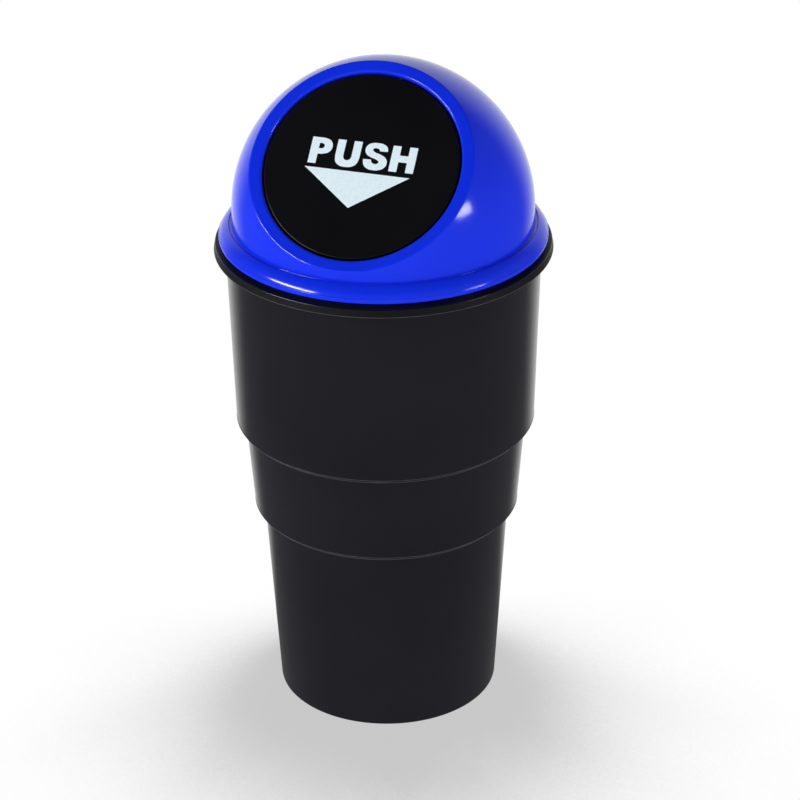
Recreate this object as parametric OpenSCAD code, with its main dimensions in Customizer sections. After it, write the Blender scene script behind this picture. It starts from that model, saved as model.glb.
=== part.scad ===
// Car trash bin: a stepped cup that stands in a cup holder, with a domed lid
// whose slanted opening is closed by a sprung push flap.
// Millimetres. The cup stands on z = 0, its axis is Z, and the flap faces -Y.

/* [Cup] */
// Height from the foot to the top of the rim
cup_h = 120; // [112:0.5:130]
// Outer diameter of the rim
rim_d = 80.5; // [70:0.5:92]
// Thickness of the rim
rim_t = 1.8; // [1:0.1:2.5]
// How far the rim stands out past the wall under it
rim_reach = 2.75; // [2.2:0.05:3.2]
// How much the upper section narrows towards its step, on the radius
upper_draft = 1.3; // [0.5:0.05:2]
// Height of the upper step
upper_step_h = 73; // [66:0.5:85]
// Width of the upper step
upper_ledge = 2.1; // [1.5:0.05:3]
// How much the middle section narrows towards its step, on the radius
middle_draft = 1.75; // [0.5:0.05:2.5]
// Height of the lower step
lower_step_h = 49.9; // [40:0.1:60]
// Width of the lower step
lower_ledge = 2.3; // [1.5:0.05:3]
// How much the lower section narrows towards the foot, on the radius
lower_draft = 3.05; // [1:0.05:4]
// Thickness of the cup's wall
cup_wall = 1.4; // [1:0.1:1.8]
// Thickness of the cup's floor
floor_t = 1.8; // [1.2:0.1:3]
// Width of the ring that the cup stands on
foot_ring_w = 3; // [2.2:0.1:6]
// Depth of the recess inside that ring
foot_recess = 0.8; // [0.4:0.1:1.5]
// Size of the chamfer under the outer edge of each step
step_chamfer = 0.9; // [0.4:0.1:1.2]
// Radius of the rounded edge of each step inside
shoulder_round = 0.8; // [0.4:0.1:1.2]
// Radius of the rounded edge of the foot
foot_round = 0.5; // [0.3:0.1:1.4]
// Radius of the rounded edges of the rim
rim_round = 0.35; // [0.2:0.05:0.45]
// Radius of the corner between the wall and the floor inside
floor_round = 2; // [1:0.5:4]

/* [Lid] */
// Height of the dome's centre above the rim
dome_rise = 7.8; // [7.4:0.1:9]
// Thickness of the dome and of the flange
lid_wall = 1.5; // [1.2:0.1:1.7]
// Distance of the flange's edge in from the rim's edge
flange_inset = 1.2; // [0.9:0.05:1.5]
// How far the flange stands out past the dome
flange_reach = 3.25; // [2.95:0.05:3.5]
// Height of the dome's foot above the rim, where the flange's arched top begins
flange_h = 5; // [4.6:0.1:5.4]
// Gap between the flange's lower edge and the rim
flange_lift = 1.1; // [0.4:0.1:1.4]
// Radius of the flange's arched top
flange_arch = 4.5; // [3.5:0.1:6]
// Height of the upright lip round the flange's edge
lip_h = 1.1; // [0.7:0.1:1.3]
// How far that lip stands out past the arched top
lip_step = 0.15; // [0.1:0.05:0.3]
// Width of the seat that rests on the rim
seat_w = 1.1; // [0.8:0.1:1.4]
// Depth that the plug reaches into the cup's mouth
plug_l = 8.5; // [5:0.5:12]
// Radial clearance between the plug and the cup's mouth
plug_clear = 0.3; // [0.2:0.05:0.35]
// How much the plug narrows towards its lower edge, on the radius
plug_draft = 0.3; // [0.25:0.05:0.5]

/* [Slanted opening] */
// Tilt of the opening's axis from the vertical
opening_tilt = 43.5; // [42:0.5:46]
// Depth of the ring's face below the dome's outside, along that axis
ring_cut = 11.6; // [11:0.1:12]
// Width of the flat ring, from the opening to the circle that its face cuts from the dome
ring_w = 2.88; // [2.4:0.02:3.4]
// Thickness of the flat ring
ring_t = 1.6; // [1.3:0.1:2]
// Radius of the ring's rounded outer edge
ring_round = 0.8; // [0.3:0.1:1]
// Radius of the opening's rounded edge
opening_round = 0.7; // [0.3:0.1:0.9]

/* [Flap] */
// Gap between the flap and the opening
flap_gap = 0.5; // [0.4:0.05:0.8]
// Thickness of the flap
flap_t = 1.6; // [1.2:0.1:2]
// Depth of the flap's face below the ring's face
flap_recess = 0.5; // [0.3:0.1:0.7]
// Radius of the rounded edge of the flap's face
flap_round = 0.3; // [0.1:0.1:0.5]
// How far the stop reaches past the opening's edge
stop_reach = 1.3; // [0.8:0.1:1.5]
// Thickness of the stop
stop_t = 1.2; // [0.8:0.1:1.5]
// Gap between the stop and the ring
stop_gap = 0.3; // [0.2:0.05:0.5]
// Height of the stiffening rib on the flap's back
rib_h = 1.6; // [1:0.1:2]
// Thickness of that rib
rib_t = 1; // [0.8:0.1:1.4]
// Gap between the ends of the rib and the lugs
rib_gap = 3.6; // [1:0.1:6]

/* [Hinge] */
// Distance of the hinge's axis from the flap's top edge
hinge_drop = 4; // [3.8:0.1:4.6]
// Depth of the hinge's axis behind the flap's face
hinge_depth = 5; // [4.8:0.1:5.5]
// Diameter of the hinge pin
pin_d = 2; // [1.6:0.1:2.2]
// Radial running clearance of the flap's lugs on the pin
pin_run = 0.06; // [0.03:0.01:0.1]
// Radial clearance of the pin in the lid's ears
pin_seat = 0.01; // [0.01:0.01:0.03]
// Outer diameter of the lugs and ears round the pin
boss_d = 4.8; // [4.2:0.1:5]
// Distance of each lug in from the flap's edge
lug_inset = 0.95; // [0.6:0.05:1.5]
// Thickness of each lug of the flap
lug_t = 2.4; // [1.8:0.1:2.6]
// Side gap between a lug and the ear beside it
lug_gap = 0.4; // [0.2:0.1:0.6]
// Thickness of each ear of the lid
ear_t = 2.2; // [1.6:0.1:2.6]
// Length of pin that stands out of each ear
pin_end = 0.5; // [0.3:0.1:1]

/* [Return spring] */
// Diameter of the spring's wire
wire_d = 0.7; // [0.5:0.05:0.8]
// Number of turns
spring_turns = 10; // [6:1:12]
// Gap between neighbouring turns
turn_gap = 0.1; // [0.05:0.05:0.2]
// Gap between the coil and the pin
coil_gap = 0.4; // [0.2:0.05:0.5]
// Length of the leg that presses on the flap
flap_leg = 12; // [8:0.5:14]
// Length of the leg that presses on the ring
ring_leg = 5.6; // [5.2:0.1:5.8]
// Gap between each leg's end and what it presses on
leg_gap = 0.1; // [0.05:0.05:0.2]

/* [Hidden] */
$fn = 144;
// Steps in each rounded corner
arc_steps = 6;
// Length by which cutters run past what they cut
over = 1;

// Radii of the cup
rim_r = rim_d / 2;
upper_top_r = rim_r - rim_reach;
upper_bottom_r = upper_top_r - upper_draft;
middle_top_r = upper_bottom_r - upper_ledge;
middle_bottom_r = middle_top_r - middle_draft;
lower_top_r = middle_bottom_r - lower_ledge;
foot_r = lower_top_r - lower_draft;
mouth_r = upper_top_r - cup_wall;
mouth_round = 0.4;
floor_z = foot_recess + floor_t;
rim_under_z = cup_h - rim_t;

// Sizes of the lid
flange_r = rim_r - flange_inset;
dome_r = flange_r - flange_reach;
dome_in_r = dome_r - lid_wall;
dome_z = cup_h + dome_rise;
flange_top_z = cup_h + flange_h;
flange_edge_z = cup_h + flange_lift;
lip_top_z = flange_edge_z + lip_h;
edge_round = 0.3;
plug_r = mouth_r - plug_clear;
plug_end_r = plug_r - plug_draft;
plug_end_z = cup_h - plug_l;
plug_chamfer = 0.6;
seat_r = plug_r + seat_w;

// Third side of a right triangle with longest side c and one short side a
function leg(c, a) = sqrt(c * c - a * a);
// Angle at which point p lies round point c
function angle_from(c, p) = atan2(p.y - c.y, p.x - c.x);

// Sizes of the slanted ring, along and across its own axis from the dome's centre
ring_offset = dome_r - ring_cut;
opening_r = leg(dome_r, ring_offset) - ring_w;
ring_under = ring_offset - ring_t;
// Centre of the rounded edge between the ring's face and the dome, and its end on the dome
edge_d = ring_offset - ring_round;
edge_r = leg(dome_r - ring_round, edge_d);
edge_lean = atan2(edge_d, edge_r);
// The dome's ball runs down past that edge all round, to where its straight foot begins
ball_low = max(0, dome_r * sin(opening_tilt - edge_lean)) + 0.3;
dome_foot_r = leg(dome_r, ball_low);

// Ends of the flange's arched top, at the lip and at the dome's foot, and its centre
arch_low = [flange_r - lip_step, lip_top_z];
arch_high = [dome_foot_r, flange_top_z];
arch_chord = arch_high - arch_low;
arch_out = [arch_chord.y, -arch_chord.x] / norm(arch_chord);
arch_centre = (arch_low + arch_high) / 2 - leg(flange_arch, norm(arch_chord) / 2) * arch_out;
// Inside of the flange's edge, and the underside between it and the seat
skirt_r = flange_r - lid_wall;
flange_under_z = arch_centre.y + leg(flange_arch, skirt_r - arch_centre.x) - lid_wall;

// Places of the flap and of its hinge in the ring's frame
flap_r = opening_r - flap_gap;
flap_face = ring_offset - flap_recess;
flap_back = flap_face - flap_t;
hinge_y = flap_r - hinge_drop;
hinge_d = flap_face - hinge_depth;
boss_r = boss_d / 2;
pin_r = pin_d / 2;
stop_top = ring_under - stop_gap;
stop_r = opening_r + stop_reach;
stop_y = -2;
rib_r = flap_r - rib_t;
rib_y = hinge_y - boss_r - rib_gap;

// Places along the hinge's axis
lug_top_y = hinge_y + boss_r * 0.6;
lug_end_x = leg(flap_r, lug_top_y) - lug_inset;
lug_x = lug_end_x - lug_t;
ear_x = lug_end_x + lug_gap;
ear_end_x = ear_x + ear_t;
pin_end_x = ear_end_x + pin_end;

// Sizes of the spring
wire_r = wire_d / 2;
coil_r = pin_r + coil_gap + wire_r;
coil_pitch = wire_d + turn_gap;
coil_l = spring_turns * coil_pitch;
steps_per_turn = 16;
wire_sides = 6;

// Points of an arc round c, from angle a to angle b
function arc(c, r, a, b) =
    [for (i = [0 : arc_steps]) let (t = a + (b - a) * i / arc_steps) c + r * [cos(t), sin(t)]];

// Puts its children in the ring's frame: Z along the opening's axis, Y up the slope
module in_ring_frame() {
    translate([0, 0, dome_z]) rotate([opening_tilt, 0, 0]) children();
}

// Extrudes an outline of the hinge's side view along X, from x0 to x1
module side_plate(x0, x1) {
    translate([x0, 0, 0]) rotate([90, 0, 90]) linear_extrude(height = x1 - x0) children();
}

// The same plate on both sides of the middle
module side_plates(x0, x1) {
    side_plate(x0, x1) children();
    side_plate(-x1, -x0) children();
}

module cup_outline() {
    polygon(concat(
        [[0, foot_recess],
         [foot_r - foot_ring_w, foot_recess],
         [foot_r - foot_ring_w + foot_recess, 0]],
        arc([foot_r - foot_round, foot_round], foot_round, -90, 0),
        [[lower_top_r, lower_step_h]],
        [[middle_bottom_r - step_chamfer, lower_step_h],
         [middle_bottom_r, lower_step_h + step_chamfer],
         [middle_top_r, upper_step_h],
         [upper_bottom_r - step_chamfer, upper_step_h],
         [upper_bottom_r, upper_step_h + step_chamfer],
         [upper_top_r, rim_under_z]],
        arc([rim_r - rim_round, rim_under_z + rim_round], rim_round, -90, 0),
        arc([rim_r - rim_round, cup_h - rim_round], rim_round, 0, 90),
        arc([mouth_r + mouth_round, cup_h - mouth_round], mouth_round, 90, 180),
        [[upper_bottom_r - cup_wall, upper_step_h + cup_wall]],
        arc([middle_top_r - cup_wall + shoulder_round, upper_step_h + cup_wall - shoulder_round],
            shoulder_round, 90, 180),
        [[middle_bottom_r - cup_wall, lower_step_h + cup_wall]],
        arc([lower_top_r - cup_wall + shoulder_round, lower_step_h + cup_wall - shoulder_round],
            shoulder_round, 90, 180),
        arc([foot_r - cup_wall - floor_round, floor_z + floor_round], floor_round, 0, -90),
        [[0, floor_z]]
    ));
}

module bin_body() {
    color("#1d1c20") rotate_extrude() cup_outline();
}

// The dome's straight foot, the flange and the plug, in one solid section
module lid_foot_outline() {
    polygon(concat(
        [[0, dome_z],
         [0, plug_end_z],
         [plug_end_r - plug_chamfer, plug_end_z],
         [plug_end_r, plug_end_z + plug_chamfer],
         [plug_r, cup_h],
         [seat_r, cup_h],
         [seat_r, flange_under_z],
         [skirt_r, flange_under_z],
         [skirt_r, flange_edge_z]],
        arc([flange_r - edge_round, flange_edge_z + edge_round], edge_round, -90, 0),
        [[flange_r, lip_top_z - lip_step],
         [flange_r - lip_step / 2, lip_top_z]],
        arc(arch_centre, flange_arch,
            angle_from(arch_centre, arch_low), angle_from(arch_centre, arch_high)),
        [[dome_foot_r, dome_z]]
    ));
}

// A ball round the dome's centre, kept only above a height
module ball_above(r, z) {
    difference() {
        translate([0, 0, dome_z]) sphere(r = r);
        translate([0, 0, z - 2 * r]) cylinder(r = 2 * r, h = 2 * r);
    }
}

// What is hollow under the dome and through the plug, up to the underside of the ring
module lid_hollow() {
    difference() {
        union() {
            translate([0, 0, plug_end_z - over])
                cylinder(r = dome_in_r, h = dome_z - plug_end_z + over);
            ball_above(dome_in_r, dome_z);
        }
        in_ring_frame() translate([0, 0, ring_under]) cylinder(r = 2 * dome_r, h = 2 * dome_r);
    }
}

// What is cut off above the ring's face and through its opening, with both rounded edges
module ring_cutter() {
    rotate_extrude() polygon(concat(
        [[0, ring_under - over],
         [opening_r, ring_under - over]],
        arc([opening_r + opening_round, ring_offset - opening_round], opening_round, 180, 90),
        arc([edge_r, edge_d], ring_round, 90, edge_lean),
        [(dome_r + over) * [cos(edge_lean), sin(edge_lean)],
         [dome_r + over, 2 * dome_r],
         [0, 2 * dome_r]]
    ));
}

// Side view of an ear: round the pin, and out to the ring and the dome's wall
module ear_outline() {
    mid_x = (ear_x + ear_end_x) / 2;
    low = hinge_d - boss_r;
    wall_y = leg(leg(dome_in_r + lid_wall / 2, low), mid_x);
    top_y = leg(leg(dome_in_r, ring_under) + lid_wall * 0.8, ear_end_x);
    difference() {
        union() {
            translate([hinge_y, hinge_d]) circle(r = boss_r);
            polygon([
                [hinge_y, low],
                [wall_y, low],
                [top_y, ring_under + ring_t / 4],
                [hinge_y + boss_r + flap_gap, ring_under + ring_t / 4],
                [hinge_y + boss_r + flap_gap, hinge_d + boss_r],
                [hinge_y, hinge_d + boss_r]
            ]);
        }
        translate([hinge_y, hinge_d]) circle(r = pin_r + pin_seat);
    }
}

module lid() {
    color("#1c30f0") {
        difference() {
            union() {
                rotate_extrude() lid_foot_outline();
                ball_above(dome_r, flange_top_z);
            }
            lid_hollow();
            in_ring_frame() ring_cutter();
        }
        in_ring_frame() side_plates(ear_x, ear_end_x) ear_outline();
    }
}

// Side view of a lug: round the pin and out to the flap's back
module lug_outline() {
    difference() {
        union() {
            translate([hinge_y, hinge_d]) circle(r = boss_r);
            polygon([
                [hinge_y - boss_r, hinge_d],
                [hinge_y + boss_r, hinge_d],
                [lug_top_y, flap_back + flap_t / 4],
                [hinge_y - boss_r * 2, flap_back + flap_t / 4]
            ]);
        }
        translate([hinge_y, hinge_d]) circle(r = pin_r + pin_run);
    }
}

// A round band between two radii and two heights, kept only below a line across the flap
module band_below(r_in, r_out, d0, d1, y) {
    difference() {
        translate([0, 0, d0]) cylinder(r = r_out, h = d1 - d0);
        translate([0, 0, d0 - over]) cylinder(r = r_in, h = d1 - d0 + 2 * over);
        translate([-r_out - over, y, d0 - over])
            cube([2 * (r_out + over), 2 * r_out, d1 - d0 + 2 * over]);
    }
}

module flap_disc() {
    rotate_extrude() polygon(concat(
        [[0, flap_back],
         [flap_r, flap_back]],
        arc([flap_r - flap_round, flap_face - flap_round], flap_round, 0, 90),
        [[0, flap_face]]
    ));
}

module flap() {
    color("#121215") in_ring_frame() {
        flap_disc();
        band_below(rib_r - rib_t, rib_r, flap_back - rib_h, flap_back + flap_t / 4, rib_y);
        band_below(rib_r - rib_t, stop_r, stop_top - stop_t, stop_top, stop_y);
        side_plates(lug_x, lug_end_x) lug_outline();
    }
}

module hinge_pin() {
    chamfer = pin_r / 4;
    color("#b9bcc0") in_ring_frame() translate([0, hinge_y, hinge_d]) rotate([0, 90, 0])
        rotate_extrude() polygon([
            [0, -pin_end_x],
            [pin_r - chamfer, -pin_end_x],
            [pin_r, -pin_end_x + chamfer],
            [pin_r, pin_end_x - chamfer],
            [pin_r - chamfer, pin_end_x],
            [0, pin_end_x]
        ]);
}

// Centre line of the spring: a leg, the coil round the pin, and the other leg
flap_leg_end = [-coil_l / 2, hinge_y - flap_leg, flap_back - wire_r - leg_gap];
ring_leg_end = [coil_l / 2, hinge_y + ring_leg, ring_under - wire_r - leg_gap];
coil_steps = spring_turns * steps_per_turn;
spring_path = concat(
    [flap_leg_end],
    [for (i = [0 : coil_steps])
        let (t = 90 - 360 * i / steps_per_turn)
        [coil_l * (i / coil_steps - 0.5), hinge_y + coil_r * cos(t), hinge_d + coil_r * sin(t)]],
    [ring_leg_end]
);

function unit(v) = v / norm(v);
// Direction of the path at point i
function heading(p, i) = unit(p[min(i + 1, len(p) - 1)] - p[max(i - 1, 0)]);
// Corner k of the wire's section at point i
function wire_point(p, i, k) =
    let (t = heading(p, i), a = unit(cross(t, [1, 0, 0])), b = cross(t, a),
         w = 360 * k / wire_sides)
    p[i] + wire_r * (cos(w) * a + sin(w) * b);

module torsion_spring() {
    n = len(spring_path);
    s = wire_sides;
    color("#c4c7cb") in_ring_frame() polyhedron(
        points = [for (i = [0 : n - 1], k = [0 : s - 1]) wire_point(spring_path, i, k)],
        faces = concat(
            [[for (k = [0 : s - 1]) k]],
            [for (i = [0 : n - 2], k = [0 : s - 1])
                let (m = (k + 1) % s)
                [i * s + m, i * s + k, (i + 1) * s + k, (i + 1) * s + m]],
            [[for (k = [s - 1 : -1 : 0]) (n - 1) * s + k]]
        )
    );
}

bin_body();
lid();
flap();
hinge_pin();
torsion_spring();
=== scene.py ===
"""Car trash bin: a stepped black cup, a blue domed lid and a sprung push flap."""
import math

import bmesh
import bpy
from mathutils import Matrix, Vector


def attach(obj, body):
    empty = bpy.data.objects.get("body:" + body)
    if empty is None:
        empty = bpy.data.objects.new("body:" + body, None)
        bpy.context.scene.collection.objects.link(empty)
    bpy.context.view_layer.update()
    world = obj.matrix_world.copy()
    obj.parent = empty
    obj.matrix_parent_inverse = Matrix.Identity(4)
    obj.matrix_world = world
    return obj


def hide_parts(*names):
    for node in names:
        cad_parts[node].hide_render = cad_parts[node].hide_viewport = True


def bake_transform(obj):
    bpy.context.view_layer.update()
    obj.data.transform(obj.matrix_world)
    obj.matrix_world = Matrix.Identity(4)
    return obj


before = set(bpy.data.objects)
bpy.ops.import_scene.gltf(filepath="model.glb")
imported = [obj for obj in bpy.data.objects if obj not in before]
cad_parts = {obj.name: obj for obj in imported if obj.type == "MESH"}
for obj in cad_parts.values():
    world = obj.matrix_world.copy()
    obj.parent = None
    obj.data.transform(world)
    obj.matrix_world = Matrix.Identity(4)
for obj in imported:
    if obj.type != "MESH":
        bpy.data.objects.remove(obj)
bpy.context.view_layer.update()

# The object is written in millimetres, and one scale takes it to metres.
MM = 0.001
# How many faces go round a turned shape, and how close two points are one.
TURNS = 256
MERGE = 0.0005
# An edge that turns by more than this is shaded hard.
HARD_TURN = math.radians(38)

# The cup: its wall, the width of its foot ring, and its outside from the foot to the rim.
WALL, FOOT_RING = 1.4, 3
FOOT_R = 27.0
LOWER_R, LOWER_STEP = 30.05, 49.9
MIDDLE_LOW_R, MIDDLE_R, UPPER_STEP = 32.35, 34.1, 73.0
UPPER_LOW_R, UPPER_R = 36.2, 37.5
RIM_R, RIM_UNDER, RIM_TOP = 40.25, 118.2, 120.0
CHAMFER = 0.9
# How far the rim's side leans in, the recess under the foot, and the cup's inner floor.
RIM_SLOPE = 0.3
RECESS, FLOOR_TOP = 0.8, 2.6
# The mould's seams: how far they stand out, how tall they are, and how round their edges.
SEAM, SEAM_H = 0.05, 0.17
SEAM_ROUND, SEAM_FINE = 0.03, 0.02

# The lid's dome: its ball, its straight foot, and the crease and fillet round the foot.
DOME_R, DOME_IN_R, DOME_Z = 35.8, 34.3, 127.8
DOME_FOOT_R, FOOT_FILLET, CREASE = 35.78, 0.25, 0.6
# How far round its side view the ball runs before it is cut off level.
BALL_END = 147
# The lid's flange: its reach, its top and its lower edge, then its arch and the small lip.
FLANGE_R, FLANGE_TOP, FLANGE_EDGE = 39.05, 125.0, 121.1
ARCH_R, LIP_TOP, LIP_STEP = 4.5, 122.2, 0.15
# The flange's wall, and the height of its underside.
LID_WALL, FLANGE_UNDER = 1.5, 122.6
# The seat on the cup's rim, and the plug that goes into the cup's mouth.
SEAT_R = 36.9
PLUG_R, PLUG_END_R, PLUG_END = 35.8, 35.5, 111.5

# The slanted ring, measured along and across its own axis from the dome's centre.
TILT = math.radians(43.5)
RING_FACE, RING_UNDER = 24.2, 22.6
OPENING_R = 23.5
# Its rounded outer edge: radius, centre and how far round it runs into the ball.
EDGE_ROUND = 0.8
EDGE_D = RING_FACE - EDGE_ROUND
EDGE_R = math.sqrt((DOME_R - EDGE_ROUND) ** 2 - EDGE_D ** 2)
EDGE_TURN = 90 - math.degrees(math.atan2(EDGE_D, EDGE_R))

# The flap, the hinge's axis, and the round ends of lugs and ears, in the ring's frame.
FLAP_R, FLAP_FACE, FLAP_BACK = 23.0, 23.7, 22.1
HINGE_Y, HINGE_D = 19.0, 18.7
BOSS_R, PIN_R = 2.4, 1.0
# The flap's lugs and the lid's ears: where they stand, and the play round the pin.
LUG_X, LUG_PLAY = (7.2, 9.6), 0.06
EAR_X, EAR_PLAY = (10.0, 12.2), 0.01
# Where an ear's lower and upper side run into the dome's wall, and its step at the top.
EAR_LOW_Y, EAR_TOP_Y, EAR_STEP = 28.98, 24.09, 0.5
# How deep the foot of a rib, lug or ear goes into the face that it stands on.
ROOT = 0.4
# The stiffening rib: how far it is from the flap's edge, its width, depth and upper end.
RIB_GAP, RIB_W, RIB_DEPTH, RIB_END = 1.0, 1.0, 1.6, 13.0
# The stop: how far it goes under the ring, its clearance, thickness and upper end.
STOP_OVER, STOP_GAP, STOP_T, STOP_END = 1.3, 0.3, 1.2, -2.0

# From the ring's frame to the object's frame, and from millimetres to metres.
RING_FRAME = Matrix.Translation((0, 0, DOME_Z)) @ Matrix.Rotation(TILT, 4, "X")
TO_METRES = Matrix.Scale(MM, 4)


# Shapes

def wire(bm, points, closed=False):
    """A chain of edges through points of a side view, given as (x, z)."""
    verts = [bm.verts.new((x, 0, z)) for x, z in points]
    pairs = zip(verts, verts[1:] + ([verts[0]] if closed else []))
    return verts, [bm.edges.new(pair) for pair in pairs]


def walk(bm, start):
    """The points of an open chain in order, from its end nearest to start."""
    ends = [v for v in bm.verts if len(v.link_edges) == 1]
    vert = min(ends, key=lambda v: math.dist((v.co.x, v.co.z), start))
    points, edge = [(vert.co.x, vert.co.z)], None
    while True:
        onward = [e for e in vert.link_edges if e is not edge]
        if not onward:
            return points
        edge = onward[0]
        vert = edge.other_vert(vert)
        points.append((vert.co.x, vert.co.z))


def outline(corners, steps=6):
    """Points of a side view whose corners (x, z, radius) are rounded."""
    bm = bmesh.new()
    verts, _ = wire(bm, [c[:2] for c in corners])
    for i, (x, z, radius) in enumerate(corners):
        if radius:
            there = Vector((x, z))
            one = (Vector(corners[i - 1][:2]) - there).normalized()
            two = (Vector(corners[i + 1][:2]) - there).normalized()
            reach = radius / math.tan(one.angle(two) / 2)
            bmesh.ops.bevel(bm, geom=[verts[i]], offset=reach, offset_type="OFFSET",
                            segments=steps, profile=0.5, affect="VERTICES", material=-1)
    points = walk(bm, corners[0][:2])
    bm.free()
    return points


def arc(start, centre, degrees, steps):
    """Points that start swings through round centre, in a side view."""
    bm = bmesh.new()
    vert = bm.verts.new((start[0], 0, start[1]))
    bmesh.ops.spin(bm, geom=[vert], cent=(centre[0], 0, centre[1]), axis=(0, 1, 0),
                   angle=math.radians(degrees), steps=steps, use_merge=False)
    points = walk(bm, start)
    bm.free()
    return points


def turned(bm, points, closed=False, turns=TURNS):
    """Turns a side view right round the Z axis."""
    verts, edges = wire(bm, points, closed)
    bmesh.ops.spin(bm, geom=verts + edges, cent=(0, 0, 0), axis=(0, 0, 1),
                   angle=math.tau, steps=turns, use_merge=True)
    bmesh.ops.remove_doubles(bm, verts=bm.verts[:], dist=MERGE)


def soften(bm, radius):
    """Takes the sharpness off every edge that turns by more than 50 degrees."""
    sharp = [e for e in bm.edges if e.is_manifold
             and abs(e.calc_face_angle_signed(0)) > math.radians(50)]
    bmesh.ops.bevel(bm, geom=sharp, offset=radius, offset_type="OFFSET", segments=2,
                    profile=0.5, affect="EDGES", material=-1, clamp_overlap=True)


def finish_piece(name, bm, material, body=None, replaces=None, turn=None):
    """Makes the mesh an object in place, smooth, dressed and riding on its body."""
    bmesh.ops.recalc_face_normals(bm, faces=bm.faces[:])
    if turn is not None:
        bm.transform(turn)
    bm.transform(TO_METRES)
    for face in bm.faces:
        face.smooth = True
    for edge in bm.edges:
        if edge.is_manifold and edge.calc_face_angle(0) > HARD_TURN:
            edge.smooth = False
    mesh = bpy.data.meshes.new(name)
    bm.to_mesh(mesh)
    bm.free()
    piece = bpy.data.objects.new(name, mesh)
    bpy.context.scene.collection.objects.link(piece)
    mesh.materials.append(material)
    even = piece.modifiers.new("even shading", "WEIGHTED_NORMAL")
    even.keep_sharp = True
    if body:
        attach(piece, body)
    if replaces:
        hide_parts(replaces)
    return piece


# Materials

def linear(hexcode):
    """An sRGB colour such as #1122EE as linear RGBA."""
    parts = [int(hexcode[i:i + 2], 16) / 255 for i in (1, 3, 5)]
    return tuple(c / 12.92 if c <= 0.04045 else ((c + 0.055) / 1.055) ** 2.4
                 for c in parts) + (1.0,)


def per_mm(size):
    """The scale of a pattern whose features are size millimetres apart."""
    return 1 / (size * MM)


def add(tree, kind, values=None, links=None, **settings):
    """Adds a node with its settings, its socket values and its links."""
    made = tree.nodes.new(kind)
    for key, value in settings.items():
        setattr(made, key, value)
    for key, value in (values or {}).items():
        made.inputs[key].default_value = value
    for key, source in (links or {}).items():
        tree.links.new(source, made.inputs[key])
    return made


def new_material(name):
    """An empty node material with its surface shader."""
    material = bpy.data.materials.new(name)
    material.use_nodes = True
    tree = material.node_tree
    shader = tree.nodes["Principled BSDF"]
    place = add(tree, "ShaderNodeTexCoord").outputs["Object"]
    return material, tree, shader, place


def moulded(name, dark, light, roughness, ior, level, flow, peel, peel_depth):
    """Injection-moulded plastic: flow shades, uneven gloss and a faint orange peel.

    The size of the flow shades and of the peel, and the peel's depth, are in millimetres.
    """
    material, tree, shader, place = new_material(name)
    cloud = add(tree, "ShaderNodeTexNoise", {"Scale": per_mm(flow), "Detail": 3.0},
                {"Vector": place})
    shade = add(tree, "ShaderNodeValToRGB", links={"Fac": cloud.outputs["Fac"]})
    shade.color_ramp.elements[0].position = 0.3
    shade.color_ramp.elements[0].color = linear(dark)
    shade.color_ramp.elements[1].position = 0.7
    shade.color_ramp.elements[1].color = linear(light)
    gloss = add(tree, "ShaderNodeMapRange",
                {"To Min": roughness * 0.9, "To Max": roughness * 1.1},
                {"Value": cloud.outputs["Fac"]})
    skin = add(tree, "ShaderNodeTexNoise", {"Scale": per_mm(peel), "Detail": 2.0},
               {"Vector": place})
    bump = add(tree, "ShaderNodeBump", {"Strength": 1.0, "Distance": peel_depth * MM},
               {"Height": skin.outputs["Fac"]})
    tree.links.new(shade.outputs["Color"], shader.inputs["Base Color"])
    tree.links.new(gloss.outputs["Result"], shader.inputs["Roughness"])
    tree.links.new(bump.outputs["Normal"], shader.inputs["Normal"])
    shader.inputs["IOR"].default_value = ior
    shader.inputs["Specular IOR Level"].default_value = level
    return material


# Moulded polypropylene, black: satin, with pale edges where it turns away.
black_polypropylene = moulded("Moulded polypropylene, black", "#111017", "#15141C",
                              roughness=0.2, ior=1.49, level=0.6,
                              flow=30, peel=2.2, peel_depth=0.003)
# Moulded polypropylene, grained: the rim's matt face, which stays black from the side.
grained_polypropylene = moulded("Moulded polypropylene, grained", "#0E0E13", "#121217",
                                roughness=0.5, ior=1.49, level=0.25,
                                flow=30, peel=0.9, peel_depth=0.006)
# Moulded polypropylene, pale: a painted highlight on the seams, standing in for the thin light
# lines that their edges catch all round.
seam_highlight_polypropylene = moulded("Moulded polypropylene, painted seam highlight", "#34343B", "#43434B",
                               roughness=0.36, ior=1.49, level=0.8,
                               flow=6, peel=1.1, peel_depth=0.004)
# Moulded ABS, royal blue: deep colour under a clear gloss.
blue_abs = moulded("Moulded ABS, royal blue", "#0D2BE0", "#1031E6",
                   roughness=0.13, ior=1.53, level=0.4,
                   flow=40, peel=3.0, peel_depth=0.002)
# Moulded ABS, black: an even satin that stays dark from the front.
satin_abs = moulded("Moulded ABS, black satin", "#09090C", "#0C0C10",
                    roughness=0.3, ior=1.53, level=0.25,
                    flow=25, peel=0.8, peel_depth=0.002)


def make_ink():
    """Pad-printed ink: pale, flat, with the grain of the pad."""
    material, tree, shader, place = new_material("Pad-printed ink, pale blue")
    grain = add(tree, "ShaderNodeTexNoise", {"Scale": per_mm(0.7), "Detail": 4.0},
                {"Vector": place})
    shade = add(tree, "ShaderNodeValToRGB", links={"Fac": grain.outputs["Fac"]})
    shade.color_ramp.elements[0].position = 0.35
    shade.color_ramp.elements[0].color = linear("#DFF2FD")
    shade.color_ramp.elements[1].position = 0.6
    shade.color_ramp.elements[1].color = linear("#E7F8FF")
    tree.links.new(shade.outputs["Color"], shader.inputs["Base Color"])
    shader.inputs["Roughness"].default_value = 0.6
    return material


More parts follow.
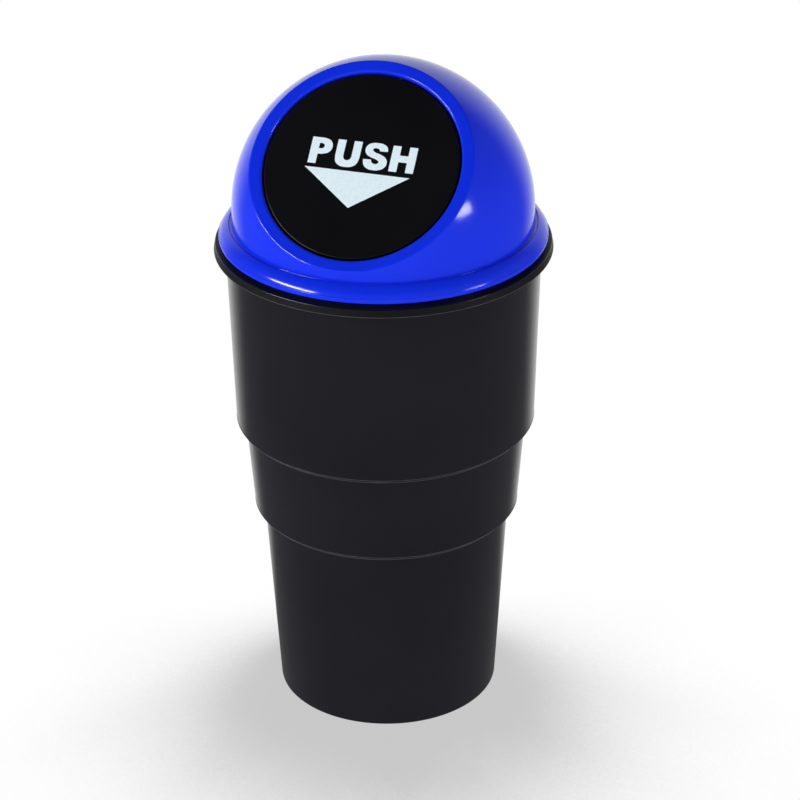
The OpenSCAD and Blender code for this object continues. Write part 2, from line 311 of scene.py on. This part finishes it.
def make_steel(name, colour, roughness, lines):
    """Steel that was drawn or ground: fine streaks in its shine, lines millimetres wide."""
    material, tree, shader, place = new_material(name)
    streaks = add(tree, "ShaderNodeTexNoise", {"Scale": per_mm(lines), "Detail": 3.0},
                  {"Vector": place})
    gloss = add(tree, "ShaderNodeMapRange",
                {"To Min": roughness * 0.8, "To Max": roughness * 1.3},
                {"Value": streaks.outputs["Fac"]})
    bump = add(tree, "ShaderNodeBump", {"Strength": 1.0, "Distance": 0.002 * MM},
               {"Height": streaks.outputs["Fac"]})
    tree.links.new(gloss.outputs["Result"], shader.inputs["Roughness"])
    tree.links.new(bump.outputs["Normal"], shader.inputs["Normal"])
    shader.inputs["Base Color"].default_value = linear(colour)
    shader.inputs["Metallic"].default_value = 1.0
    return material


printed_ink = make_ink()
# Ground steel: the pin's bright, even shine. Drawn spring steel: a little darker and softer.
ground_steel = make_steel("Ground steel", "#C9CCCF", roughness=0.24, lines=0.3)
spring_steel = make_steel("Drawn spring steel", "#B9BCC2", roughness=0.3, lines=0.2)


# The cup

def step(r, z):
    """The chamfered edge over a step, with the mould's fine seam at each end of it."""
    low = r - CHAMFER
    return [(low + SEAM_H, z, SEAM_ROUND),
            (low + SEAM_H, z + SEAM_H, 0),
            (r - SEAM, z + CHAMFER - SEAM, 0),
            (r + SEAM, z + CHAMFER, SEAM_FINE),
            (r + SEAM, z + CHAMFER + SEAM_H, SEAM_FINE),
            (r, z + CHAMFER + SEAM_H + SEAM, 0)]


# The cup's three finishes, by their place in its list of materials; the third is a painted
# highlight on the seams.
SMOOTH, GRAINED, SEAM_HIGHLIGHT = 0, 1, 2


def dress_cup(bm):
    """Gives the rim its matt grain under a smooth edge, and the seams a pale painted
    highlight.
    """
    seams = [z + lift for z in (LOWER_STEP, UPPER_STEP) for lift in (0, CHAMFER)]
    inside = UPPER_R + 0.5
    for face in bm.faces:
        middle = face.calc_center_median()
        across = math.hypot(middle.x, middle.y)
        if middle.z > RIM_UNDER and across > inside:
            leans = face.normal.z * face.normal.xy.length
            face.material_index = SMOOTH if leans > 0.25 else GRAINED
            # Painted highlight: the rim's lower seam is made pale for the light line along its
            # edge.
            if middle.z < RIM_UNDER + SEAM_H:
                face.material_index = SEAM_HIGHLIGHT
        elif any(z < middle.z < z + SEAM_H for z in seams):
            upright = face.normal.xy.length > 0.99
            if upright and across > LOWER_R:
                # Painted highlight: the upright faces of the step seams are made pale for
                # their light lines.
                face.material_index = SEAM_HIGHLIGHT


def make_cup():
    """The cup, from the recess under its foot up the outside and down the inside."""
    bm = bmesh.new()
    turned(bm, outline([
        (0, RECESS, 0),
        (FOOT_R - FOOT_RING, RECESS, 0.2),
        (FOOT_R - FOOT_RING + RECESS, 0, 0.2),
        (FOOT_R, 0, 0.5),
        (LOWER_R, LOWER_STEP, 0.15),
        *step(MIDDLE_LOW_R, LOWER_STEP),
        (MIDDLE_R, UPPER_STEP, 0.15),
        *step(UPPER_LOW_R, UPPER_STEP),
        (UPPER_R, RIM_UNDER, 0.25),
        (RIM_R, RIM_UNDER, SEAM_ROUND),
        (RIM_R, RIM_UNDER + SEAM_H, SEAM_FINE),
        (RIM_R - SEAM, RIM_UNDER + SEAM_H + SEAM_ROUND, 0),
        (RIM_R - RIM_SLOPE, RIM_TOP, 0.2),
        (UPPER_R - WALL, RIM_TOP, 0.4),
        (UPPER_LOW_R - WALL, UPPER_STEP + WALL, 0.15),
        (MIDDLE_R - WALL, UPPER_STEP + WALL, 0.8),
        (MIDDLE_LOW_R - WALL, LOWER_STEP + WALL, 0.15),
        (LOWER_R - WALL, LOWER_STEP + WALL, 0.8),
        (FOOT_R - WALL, FLOOR_TOP, 2.0),
        (0, FLOOR_TOP, 0),
    ]))
    bmesh.ops.recalc_face_normals(bm, faces=bm.faces[:])
    dress_cup(bm)
    cup = finish_piece("cup", bm, black_polypropylene, "cup", "bin_body")
    # The grained rim, then the pale seams that carry the painted highlight.
    for material in (grained_polypropylene, seam_highlight_polypropylene):
        cup.data.materials.append(material)


make_cup()


# The lid

def ball_arc(radius, turn, steps):
    """Points of a ball's side view, from an angle off the ring's axis down past the flange."""
    polar = math.radians(turn)
    start = (radius * math.sin(polar), radius * math.cos(polar))
    return arc(start, (0, 0), BALL_END - turn, steps)


def dome_skin(points, least_r, cut_z):
    """A skin turned round the ring's axis and cut off level at cut_z.

    Below the dome's centre it stands out at least to least_r, as the dome's
    straight foot does.
    """
    bm = bmesh.new()
    turned(bm, points)
    bm.transform(RING_FRAME)
    bmesh.ops.bisect_plane(bm, geom=bm.verts[:] + bm.edges[:] + bm.faces[:], dist=1e-5,
                           plane_co=(0, 0, cut_z), plane_no=(0, 0, 1), clear_inner=True)
    for vert in bm.verts:
        across = math.hypot(vert.co.x, vert.co.y)
        if vert.co.z < DOME_Z and across < least_r:
            vert.co.x *= least_r / across
            vert.co.y *= least_r / across
    mesh = bpy.data.meshes.new("skin")
    bm.to_mesh(mesh)
    bm.free()
    return mesh


def run_on(bm, edges, points):
    """Carries an open loop on through points (r, z), and gives its last edges."""
    for r, z in points:
        made = bmesh.ops.extrude_edge_only(bm, edges=edges)["geom"]
        fresh = {g for g in made if isinstance(g, bmesh.types.BMVert)}
        for vert in fresh:
            scale = r / math.hypot(vert.co.x, vert.co.y)
            vert.co = (vert.co.x * scale, vert.co.y * scale, z)
        edges = [g for g in made if isinstance(g, bmesh.types.BMEdge)
                 and g.verts[0] in fresh and g.verts[1] in fresh]
    return edges


def open_edges(bm, z):
    """The edges of an open loop at a height."""
    return [e for e in bm.edges
            if e.is_boundary and all(abs(v.co.z - z) < 0.01 for v in e.verts)]


def arch():
    """Points of the flange's arched top, from the dome's foot out to its lip."""
    low = Vector((FLANGE_R - LIP_STEP, LIP_TOP))
    high = Vector((DOME_FOOT_R, FLANGE_TOP))
    chord = high - low
    out = Vector((chord.y, -chord.x)).normalized()
    centre = (low + high) / 2 - out * math.sqrt(ARCH_R ** 2 - (chord.length / 2) ** 2)
    turn = math.degrees((high - centre).angle(low - centre))
    return arc(high, centre, turn, 20)


def make_lid():
    """The dome's outer and inner skin, joined by the flange and the plug, with two ears."""
    ring = outline([(OPENING_R, RING_UNDER, 0), (OPENING_R, RING_FACE, 0.7),
                    (EDGE_R, RING_FACE, 0)])
    edge = arc((EDGE_R, RING_FACE), (EDGE_R, EDGE_D), EDGE_TURN, steps=8)
    ball = ball_arc(DOME_R, EDGE_TURN, steps=80)
    foot_top = FLANGE_TOP + 2 * FOOT_FILLET
    outer = dome_skin(ring[:-1] + edge[:-1] + ball, DOME_FOOT_R, foot_top)
    under = math.degrees(math.acos(RING_UNDER / DOME_IN_R))
    inner = dome_skin([(OPENING_R, RING_UNDER)] + ball_arc(DOME_IN_R, under, steps=48),
                      DOME_IN_R, FLANGE_TOP)
    bm = bmesh.new()
    bm.from_mesh(outer)
    # The crease round the dome's foot ends where it meets the arch, at the arch's fifth point.
    meet, after, *crown = arch()[4:]
    skirt = outline([
        (DOME_FOOT_R, foot_top, 0),
        (DOME_FOOT_R, FLANGE_TOP - CREASE, FOOT_FILLET),
        (meet[0] - 0.1, FLANGE_TOP - CREASE, 0.15),
        (*meet, 0.05),
        (*after, 0),
    ]) + crown + outline([
        (FLANGE_R - LIP_STEP / 2, LIP_TOP, 0),
        (FLANGE_R, LIP_TOP - LIP_STEP, 0),
        (FLANGE_R, FLANGE_EDGE, 0.3),
        (FLANGE_R - LID_WALL, FLANGE_EDGE, 0.15),
        (FLANGE_R - LID_WALL, FLANGE_UNDER, 0.2),
        (SEAT_R, FLANGE_UNDER, 0.2),
        (SEAT_R, RIM_TOP, 0.15),
        (PLUG_R, RIM_TOP, 0.1),
        (PLUG_END_R, PLUG_END, 0.6),
        (DOME_IN_R, PLUG_END, 0),
    ])
    run_on(bm, open_edges(bm, foot_top), skirt[1:])
    bm.from_mesh(inner)
    # The inner wall goes down in steps, and stops just short of the plug's end.
    inner_low = run_on(bm, open_edges(bm, FLANGE_TOP),
                       [(DOME_IN_R, z) for z in (119, 115, PLUG_END + 0.3)])
    bmesh.ops.bridge_loops(bm, edges=open_edges(bm, PLUG_END) + inner_low)
    bmesh.ops.remove_doubles(bm, verts=bm.verts[:], dist=MERGE)
    bm.transform(RING_FRAME.inverted())
    for side in (-1, 1):
        make_ear(bm, side)
    finish_piece("domed_lid", bm, blue_abs, "lid", "lid", RING_FRAME)


def plate(bm, points, hole_r, x0, x1):
    """A plate across the hinge's axis, from x0 to x1, with the pin's hole in it."""
    part = bmesh.new()
    _, rim = wire(part, points, closed=True)
    bore = arc((HINGE_Y + hole_r, HINGE_D), (HINGE_Y, HINGE_D), 360, 32)[:-1]
    _, hole = wire(part, bore, closed=True)
    bmesh.ops.bridge_loops(part, edges=rim + hole)
    bmesh.ops.dissolve_limit(part, angle_limit=0.001, verts=part.verts[:], edges=[])
    # The side view lies in X and Z; a quarter turn puts it across the hinge's axis.
    part.transform(Matrix(((0, 1, 0, x0), (1, 0, 0, 0), (0, 0, 1, 0), (0, 0, 0, 1))))
    made = bmesh.ops.extrude_face_region(part, geom=part.faces[:])["geom"]
    for vert in (g for g in made if isinstance(g, bmesh.types.BMVert)):
        vert.co.x = x1
    bmesh.ops.recalc_face_normals(part, faces=part.faces[:])
    soften(part, 0.15)
    mesh = bpy.data.meshes.new("plate")
    part.to_mesh(mesh)
    part.free()
    bm.from_mesh(mesh)


def make_ear(bm, side):
    """One of the lid's two ears for the pin, out to the ring and the wall."""
    low = HINGE_D - BOSS_R
    top = RING_UNDER + ROOT
    shoulder = HINGE_Y + BOSS_R + EAR_STEP
    points = arc((HINGE_Y, HINGE_D + BOSS_R), (HINGE_Y, HINGE_D), -180, steps=16)
    points += [(EAR_LOW_Y, low), (EAR_TOP_Y, top), (shoulder, top),
               (shoulder, HINGE_D + BOSS_R)]
    plate(bm, points, PIN_R + EAR_PLAY, side * EAR_X[0], side * EAR_X[1])


make_lid()


# The flap

def band(bm, r0, r1, d0, d1, cut_y):
    """A round band on the flap's back, kept only below a line across the flap."""
    part = bmesh.new()
    turned(part, outline([(r0, d0, 0), (r1, d0, 0.2), (r1, d1, 0.2), (r0, d1, 0)]),
           closed=True, turns=144)
    cut = bmesh.ops.bisect_plane(part, geom=part.verts[:] + part.edges[:] + part.faces[:],
                                 dist=1e-5, plane_co=(0, cut_y, 0), plane_no=(0, 1, 0),
                                 clear_outer=True)["geom_cut"]
    bmesh.ops.edgenet_fill(part, edges=[e for e in cut if isinstance(e, bmesh.types.BMEdge)])
    mesh = bpy.data.meshes.new("band")
    part.to_mesh(mesh)
    part.free()
    bm.from_mesh(mesh)


def make_flap():
    """The flap's disc, with its rib, its stop and the two lugs for the pin."""
    bm = bmesh.new()
    turned(bm, outline([(0, FLAP_BACK, 0), (FLAP_R, FLAP_BACK, 0.2),
                        (FLAP_R, FLAP_FACE, 0.3), (0, FLAP_FACE, 0)]))
    rib_r = FLAP_R - RIB_GAP
    top = FLAP_BACK + ROOT
    band(bm, rib_r - RIB_W, rib_r, FLAP_BACK - RIB_DEPTH, top, RIB_END)
    stop_top = RING_UNDER - STOP_GAP
    band(bm, rib_r - RIB_W, OPENING_R + STOP_OVER, stop_top - STOP_T, stop_top, STOP_END)
    for side in (-1, 1):
        points = arc((HINGE_Y + BOSS_R, HINGE_D), (HINGE_Y, HINGE_D), 180, steps=16)
        points += [(HINGE_Y - 2 * BOSS_R, top), (HINGE_Y + 0.6 * BOSS_R, top)]
        plate(bm, points, PIN_R + LUG_PLAY, side * LUG_X[0], side * LUG_X[1])
    finish_piece("push_flap", bm, satin_abs, "flap", "flap", RING_FRAME)


make_flap()


# The pin and its spring

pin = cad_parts["hinge_pin"]
pin.data.materials.clear()
pin.data.materials.append(ground_steel)


def solid(curve):
    """The mesh that a curve draws, with its doubled points merged."""
    drawn = bpy.data.objects.new(curve.name, curve)
    bpy.context.scene.collection.objects.link(drawn)
    mesh = bpy.data.meshes.new_from_object(drawn.evaluated_get(
        bpy.context.evaluated_depsgraph_get()))
    bpy.data.objects.remove(drawn)
    bm = bmesh.new()
    bm.from_mesh(mesh)
    bmesh.ops.remove_doubles(bm, verts=bm.verts[:], dist=MERGE)
    return bm


def make_spring():
    """The spring's wire: a leg on the flap, ten turns round the pin, a leg on the ring."""
    wire_r, coil_r, coil_l, turns, per_turn = 0.35, 1.75, 8.0, 10, 32
    flap_leg, ring_leg, clear = 12, 5.6, 0.1
    points = [(-coil_l / 2, HINGE_Y - flap_leg, FLAP_BACK - wire_r - clear)]
    for i in range(turns * per_turn + 1):
        t = math.radians(90 - 360 * i / per_turn)
        points.append((coil_l * (i / (turns * per_turn) - 0.5),
                       HINGE_Y + coil_r * math.cos(t), HINGE_D + coil_r * math.sin(t)))
    points.append((coil_l / 2, HINGE_Y + ring_leg, RING_UNDER - wire_r - clear))
    curve = bpy.data.curves.new("wire", "CURVE")
    curve.dimensions = "3D"
    curve.bevel_depth = wire_r
    curve.bevel_resolution = 3
    curve.use_fill_caps = True
    spline = curve.splines.new("POLY")
    spline.points.add(len(points) - 1)
    for point, place in zip(spline.points, points):
        point.co = (*place, 1)
    spring = finish_piece("torsion_spring_wire", solid(curve), spring_steel, turn=RING_FRAME)
    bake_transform(spring)
    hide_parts("torsion_spring")


make_spring()


# The print on the flap

# Half the print's thickness, and how far its middle stands over the flap's face.
PRINT_HALF, PRINT_LIFT = 0.02, 0.01
# Closed loops of points (x, y, round) on the flap's face: round is 1 where a curve runs on
# through the point, and 0 at a corner.
P_SHAPE = [
    [(-12.85, -0.6, 0), (-10.92, -0.6, 0), (-10.92, 1.85, 0), (-9.9, 1.85, 0),
     (-8.35, 2.5, 1), (-7.75, 3.9, 1), (-8.35, 5.35, 1), (-9.9, 5.92, 0), (-12.85, 5.92, 0)],
    [(-10.92, 3.2, 0), (-10.35, 3.2, 0), (-9.85, 3.4, 1), (-9.65, 3.88, 1),
     (-9.85, 4.36, 1), (-10.35, 4.55, 0), (-10.92, 4.55, 0)],
]
U_SHAPE = [
    [(-6.68, 5.95, 0), (-6.68, 1.9, 0), (-6.3, 0.35, 1), (-5.2, -0.5, 1), (-3.78, -0.7, 1),
     (-2.36, -0.5, 1), (-1.26, 0.35, 1), (-0.86, 1.9, 0), (-0.86, 5.95, 0),
     (-2.8, 5.95, 0), (-2.8, 1.95, 0), (-3.1, 1.25, 1), (-3.78, 1.0, 1),
     (-4.46, 1.25, 1), (-4.76, 1.95, 0), (-4.76, 5.95, 0)],
]
S_SHAPE = [
    [(5.5, 4.15, 0), (3.62, 4.1, 0), (3.4, 4.52, 1), (2.82, 4.76, 1), (2.2, 4.68, 1),
     (1.92, 4.3, 1), (2.3, 3.86, 1), (3.9, 3.3, 1), (5.35, 2.5, 1), (5.82, 1.4, 1),
     (5.45, 0.2, 1), (4.4, -0.5, 1), (2.95, -0.72, 1), (1.35, -0.42, 1), (0.4, 0.42, 1),
     (0.05, 1.75, 0), (1.95, 1.85, 0), (2.25, 1.12, 1), (2.95, 0.84, 1), (3.6, 1.0, 1),
     (3.85, 1.42, 1), (3.3, 1.9, 1), (1.75, 2.42, 1), (0.6, 3.1, 1), (0.15, 4.2, 1),
     (0.55, 5.35, 1), (1.55, 5.93, 1), (2.85, 6.07, 1), (4.35, 5.85, 1), (5.3, 5.1, 1)],
]
H_SHAPE = [
    [(6.55, -0.52, 0), (8.48, -0.52, 0), (8.48, 1.95, 0), (10.52, 1.95, 0),
     (10.52, -0.52, 0), (12.45, -0.52, 0), (12.45, 5.9, 0), (10.52, 5.9, 0),
     (10.52, 3.62, 0), (8.48, 3.62, 0), (8.48, 5.9, 0), (6.55, 5.9, 0)],
]
ARROW = [[(-13.28, -1.55, 0), (-0.85, -10.6, 0), (11.95, -1.7, 0)]]


def printed(name, loops):
    """A thin printed shape on the flap's face, from closed loops of points."""
    curve = bpy.data.curves.new(name, "CURVE")
    curve.dimensions = "2D"
    curve.fill_mode = "BOTH"
    curve.extrude = PRINT_HALF
    curve.resolution_u = 8
    for loop in loops:
        spline = curve.splines.new("BEZIER")
        spline.bezier_points.add(len(loop) - 1)
        spline.use_cyclic_u = True
        for point, (x, y, smooth) in zip(spline.bezier_points, loop):
            point.co = (x, y, 0)
            point.handle_left_type = "AUTO" if smooth else "VECTOR"
            point.handle_right_type = point.handle_left_type
    bm = solid(curve)
    bm.transform(Matrix.Translation((0, 0, FLAP_FACE + PRINT_LIFT)))
    finish_piece(name, bm, printed_ink, "flap", turn=RING_FRAME)


for name, loops in (("print_P", P_SHAPE), ("print_U", U_SHAPE), ("print_S", S_SHAPE),
                    ("print_H", H_SHAPE), ("print_arrow", ARROW)):
    printed(name, loops)


# The studio

# The camera: how far round it stands, how far out and how high, its lens and its roll.
CAMERA_TURN = math.radians(17.7)
CAMERA_FAR, CAMERA_HIGH = 658.73, 420.36
CAMERA_LENS, CAMERA_ROLL = 137.29, -0.0084
# The point it looks at, a little beside the object's middle.
AIM_ASIDE, AIM_HIGH = 3.56, 76.4
# The floor, in metres: half its width, and how far it lies under the foot.
FLOOR_HALF, FLOOR_DROP = 4.0, 0.00005
# The direction round which the floor looks for the object: its shade falls the other way.
SHADE_LEAN = (-0.152, 0.477, 0.866)
# The direction that the world's light is weakest from: overhead, a little to the left.
DIM_WAY = (-0.35, 0.0, 0.94)
WHITE = (1.0, 1.0, 1.0, 1.0)
# The height in metres that the lamps face.
LAMPS_AIM = 0.12


def behind(tree, way):
    """Strength of the surroundings along way: white behind the object, dark overhead."""
    away = add(tree, "ShaderNodeVectorMath",
               {1: (-math.sin(CAMERA_TURN), math.cos(CAMERA_TURN), 0.0)},
               {0: way}, operation="DOT_PRODUCT")
    level = add(tree, "ShaderNodeMapRange",
                {"From Min": 0.5, "From Max": 0.95, "To Min": 0.14, "To Max": 1.0},
                {"Value": away.outputs["Value"]}, interpolation_type="SMOOTHSTEP")
    height = add(tree, "ShaderNodeSeparateXYZ", links={0: way})
    ceiling = add(tree, "ShaderNodeMapRange",
                  {"From Min": 0.45, "From Max": 0.8, "To Min": 1.0, "To Max": 0.12},
                  {"Value": height.outputs["Z"]})
    both = add(tree, "ShaderNodeMath", operation="MULTIPLY",
               links={0: level.outputs["Result"], 1: ceiling.outputs["Result"]})
    return both.outputs["Value"]


def make_floor():
    """A pale floor, which the camera sees as white with the object's soft shade on it.

    The shade follows how much of the sky the object hides at each point. The light that
    the floor gives the object is plain, and a gloss finds the same surroundings in it
    as in the world.
    """
    bm = bmesh.new()
    bmesh.ops.create_grid(bm, x_segments=1, y_segments=1, size=FLOOR_HALF)
    bmesh.ops.translate(bm, verts=bm.verts[:], vec=(0, 0, -FLOOR_DROP))
    mesh = bpy.data.meshes.new("floor")
    bm.to_mesh(mesh)
    bm.free()
    floor = bpy.data.objects.new("floor", mesh)
    bpy.context.scene.collection.objects.link(floor)
    material, tree, shader, place = new_material("Pale studio floor")
    shader.inputs["Base Color"].default_value = linear("#F2F2F2")
    shader.inputs["Roughness"].default_value = 0.9
    shader.inputs["Specular IOR Level"].default_value = 0.1
    path = add(tree, "ShaderNodeLightPath")
    sweep = add(tree, "ShaderNodeEmission", {"Color": WHITE, "Strength": 0.74})
    lit = add(tree, "ShaderNodeAddShader", links={0: shader.outputs[0], 1: sweep.outputs[0]})
    lean = add(tree, "ShaderNodeCombineXYZ", dict(zip("XYZ", SHADE_LEAN)))
    sky = add(tree, "ShaderNodeAmbientOcclusion", {"Distance": 0.25},
              {"Normal": lean.outputs["Vector"]}, samples=16)
    shadow = add(tree, "ShaderNodeMapRange",
                 {"From Min": 0.69, "From Max": 0.885, "To Min": 0.58, "To Max": 1.0},
                 {"Value": sky.outputs["AO"]}, interpolation_type="SMOOTHSTEP")
    white = add(tree, "ShaderNodeEmission", {"Color": WHITE},
                {"Strength": shadow.outputs["Result"]})
    seen = add(tree, "ShaderNodeMixShader", links={
        0: path.outputs["Is Camera Ray"], 1: lit.outputs[0], 2: white.outputs[0]})
    way = add(tree, "ShaderNodeVectorMath", links={0: place}, operation="NORMALIZE")
    shine = add(tree, "ShaderNodeEmission", {"Color": WHITE},
                {"Strength": behind(tree, way.outputs["Vector"])})
    mirrored = add(tree, "ShaderNodeMixShader", links={
        0: path.outputs["Is Glossy Ray"], 1: seen.outputs[0], 2: shine.outputs[0]})
    tree.links.new(mirrored.outputs[0], tree.nodes["Material Output"].inputs["Surface"])
    mesh.materials.append(material)


def make_world():
    """Plain light, strong from the sides and weak from above, with white behind the object."""
    world = bpy.data.worlds.new("Studio")
    bpy.context.scene.world = world
    world.use_nodes = True
    tree = world.node_tree
    tree.nodes.clear()
    path = add(tree, "ShaderNodeLightPath")
    place = add(tree, "ShaderNodeTexCoord")
    up = add(tree, "ShaderNodeVectorMath", {1: DIM_WAY},
             {0: place.outputs["Generated"]}, operation="DOT_PRODUCT")
    low = add(tree, "ShaderNodeMapRange",
              {"From Min": -0.35, "From Max": 0.8, "To Min": 1.2, "To Max": 0.08},
              {"Value": up.outputs["Value"]})
    plain = add(tree, "ShaderNodeBackground", {"Color": WHITE},
                {"Strength": low.outputs["Result"]})
    gloss = add(tree, "ShaderNodeBackground", {"Color": WHITE},
                {"Strength": behind(tree, place.outputs["Generated"])})
    white = add(tree, "ShaderNodeBackground", {"Color": WHITE, "Strength": 1.0})
    first = add(tree, "ShaderNodeMixShader", links={
        0: path.outputs["Is Glossy Ray"], 1: plain.outputs[0], 2: gloss.outputs[0]})
    second = add(tree, "ShaderNodeMixShader", links={
        0: path.outputs["Is Camera Ray"], 1: first.outputs[0], 2: white.outputs[0]})
    add(tree, "ShaderNodeOutputWorld", links={"Surface": second.outputs[0]})


def softbox(name, azimuth, elevation, distance, size, power):
    """An oblong lamp that faces the lid, which sees it at an azimuth and elevation."""
    lamp = bpy.data.lights.new(name, "AREA")
    lamp.shape = "RECTANGLE"
    lamp.size, lamp.size_y = size
    lamp.energy = power
    box = bpy.data.objects.new(name, lamp)
    bpy.context.scene.collection.objects.link(box)
    az, el = math.radians(azimuth), math.radians(elevation)
    way = Vector((math.sin(az) * math.cos(el), -math.cos(az) * math.cos(el), math.sin(el)))
    box.location = Vector((0, 0, LAMPS_AIM)) + way * distance
    box.rotation_euler = way.to_track_quat("Z", "Y").to_euler()


def make_camera():
    """The camera, at the photograph's place, angle and lens."""
    lens = bpy.data.cameras.new("camera")
    lens.lens = CAMERA_LENS
    lens.sensor_width = 36.0
    lens.clip_start = 0.01
    lens.clip_end = 20.0
    camera = bpy.data.objects.new("camera", lens)
    bpy.context.scene.collection.objects.link(camera)
    camera.location = Vector((CAMERA_FAR * math.sin(CAMERA_TURN),
                              -CAMERA_FAR * math.cos(CAMERA_TURN), CAMERA_HIGH)) * MM
    aim = Vector((AIM_ASIDE * math.cos(CAMERA_TURN), AIM_ASIDE * math.sin(CAMERA_TURN),
                  AIM_HIGH)) * MM
    look = (aim - camera.location).to_track_quat("-Z", "Y")
    roll = Matrix.Rotation(CAMERA_ROLL, 3, "Z").to_quaternion()
    camera.rotation_euler = (look @ roll).to_euler()
    bpy.context.scene.camera = camera


make_floor()
make_world()
softbox("left lamp", azimuth=-48, elevation=21, distance=1.3, size=(0.75, 0.13), power=10.5)
softbox("right lamp", azimuth=80, elevation=9, distance=1.3, size=(0.3, 0.14), power=2.3)
make_camera()
bpy.context.scene.view_settings.view_transform = "Standard"
